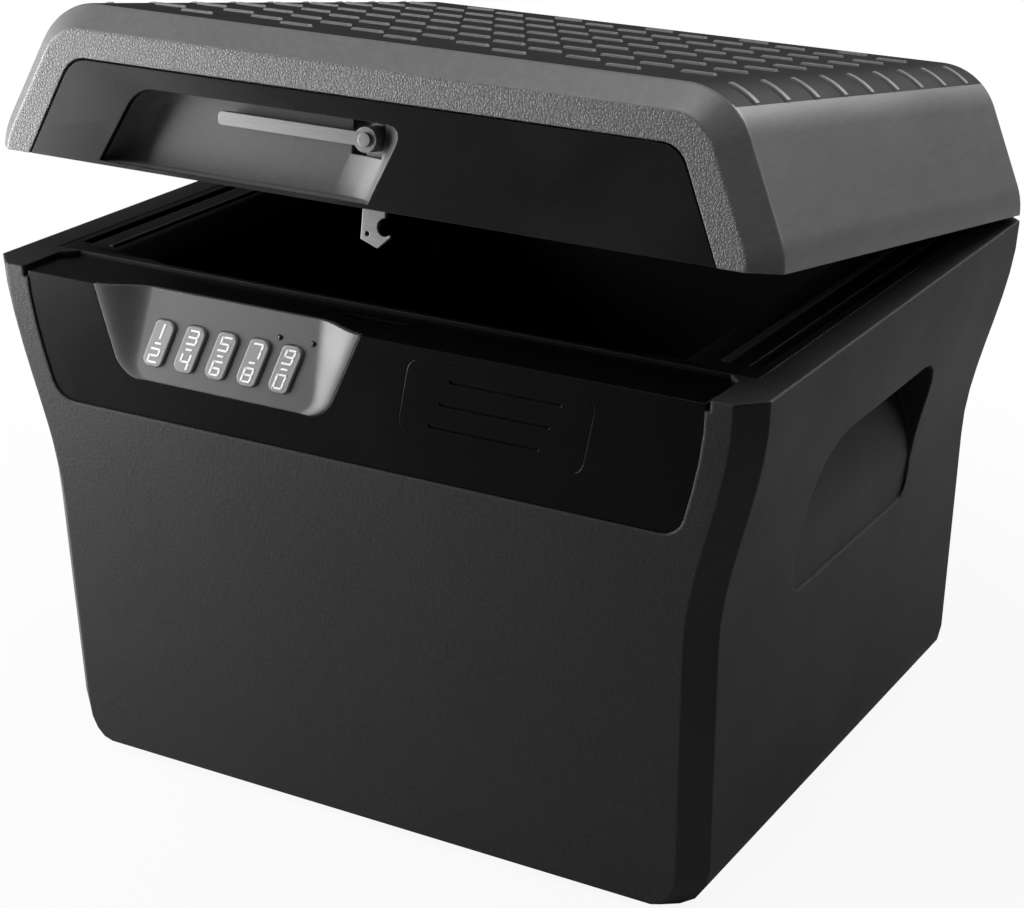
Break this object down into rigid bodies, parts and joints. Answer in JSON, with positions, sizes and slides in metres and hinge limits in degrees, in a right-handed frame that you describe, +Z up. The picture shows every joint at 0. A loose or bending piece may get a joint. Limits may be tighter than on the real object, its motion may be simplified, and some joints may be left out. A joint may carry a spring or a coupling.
{
  "type": "fire resistant security chest with a keypad lock",
  "caption": "Top-opening fire resistant chest with a flared moulded case, tread-patterned lid, front keypad lock, lift latch and side hand pockets.",
  "frame": {"origin": "on the floor, under the middle of the case", "axes": "+X to the right seen from the front, +Y to the hinges at the back, +Z up"},
  "size_m": [0.422, 0.3611, 0.3988],
  "materials": {
    "charcoal_shell": "fine texture",
    "grained_lid": "leather grain",
    "gloss_black": "satin gloss",
    "dark_lining": "smooth",
    "silver_plastic": "silver grey satin",
    "key_grey": "frosted",
    "lamp_lens": "clear dark",
    "circuit_board": "solder mask",
    "cell_wrap": "plain wrap",
    "steel": "zinc plated",
    "black_rubber": "matte",
    "insulation": "porous fill"
  },
  "bodies": {
    "case": {"case_shell": "charcoal_shell", "case_insulation": "insulation", "case_liner": "dark_lining", "case_deck": "charcoal_shell", "case_gasket": "black_rubber", "front_fascia": "gloss_black", "keypad_bezel": "silver_plastic", "lamp_left": "lamp_lens", "lamp_right": "lamp_lens", "keypad_board": "circuit_board", "battery_tray": "dark_lining", "battery_lower_left": "cell_wrap", "battery_lower_right": "cell_wrap", "battery_upper_left": "cell_wrap", "battery_upper_right": "cell_wrap", "battery_contact_left": "steel", "battery_contact_right": "steel", "lock_housing": "dark_lining", "lock_solenoid": "steel", "hinge_pin_left": "steel", "hinge_pin_right": "steel"},
    "lid": {"lid_shell": "grained_lid", "lid_insulation": "insulation", "lid_liner": "dark_lining", "lid_fascia": "gloss_black", "lid_recess_tub": "dark_lining", "latch_bracket": "steel", "latch_pivot_pin": "steel"},
    "latch": {"latch_lever": "steel", "latch_hook": "steel"},
    "bolt": {"lock_bolt": "steel", "lock_plunger": "steel"},
    "battery_cover": {"battery_cover": "gloss_black"},
    "key_1_2": {"key_1_2": "key_grey"},
    "key_3_4": {"key_3_4": "key_grey"},
    "key_5_6": {"key_5_6": "key_grey"},
    "key_7_8": {"key_7_8": "key_grey"},
    "key_9_0": {"key_9_0": "key_grey"}
  },
  "joints": [
    {"name": "lid_hinge", "type": "hinge", "parent": "case", "child": "lid", "pos_m": [0, 0.1755, 0.2706], "axis": [-1, 0, 0], "range_deg": [-9.16, 82]},
    {"name": "latch_pivot", "type": "hinge", "parent": "lid", "child": "latch", "pos_m": [0.002, -0.14345, 0.35302], "axis": [0, 0.9872, -0.1592], "range_deg": [-4.3, 0]},
    {"name": "bolt_slide", "type": "slide", "parent": "case", "child": "bolt", "axis": [-1, 0, 0], "range_m": [0, 0.003]},
    {"name": "battery_cover_pull", "type": "slide", "parent": "case", "child": "battery_cover", "axis": [0, -1, 0], "range_m": [0, 0.04]},
    {"name": "key_1_2_press", "type": "slide", "parent": "case", "child": "key_1_2", "axis": [0, 0.9891, -0.1474], "range_m": [0, 0.0008], "stiffness_N_per_m": 400, "springref_m": -0.0005},
    {"name": "key_3_4_press", "type": "slide", "parent": "case", "child": "key_3_4", "axis": [0, 0.9891, -0.1474], "range_m": [0, 0.0008], "stiffness_N_per_m": 400, "springref_m": -0.0005},
    {"name": "key_5_6_press", "type": "slide", "parent": "case", "child": "key_5_6", "axis": [0, 0.9891, -0.1474], "range_m": [0, 0.0008], "stiffness_N_per_m": 400, "springref_m": -0.0005},
    {"name": "key_7_8_press", "type": "slide", "parent": "case", "child": "key_7_8", "axis": [0, 0.9891, -0.1474], "range_m": [0, 0.0008], "stiffness_N_per_m": 400, "springref_m": -0.0005},
    {"name": "key_9_0_press", "type": "slide", "parent": "case", "child": "key_9_0", "axis": [0, 0.9891, -0.1474], "range_m": [0, 0.0008], "stiffness_N_per_m": 400, "springref_m": -0.0005}
  ]
}
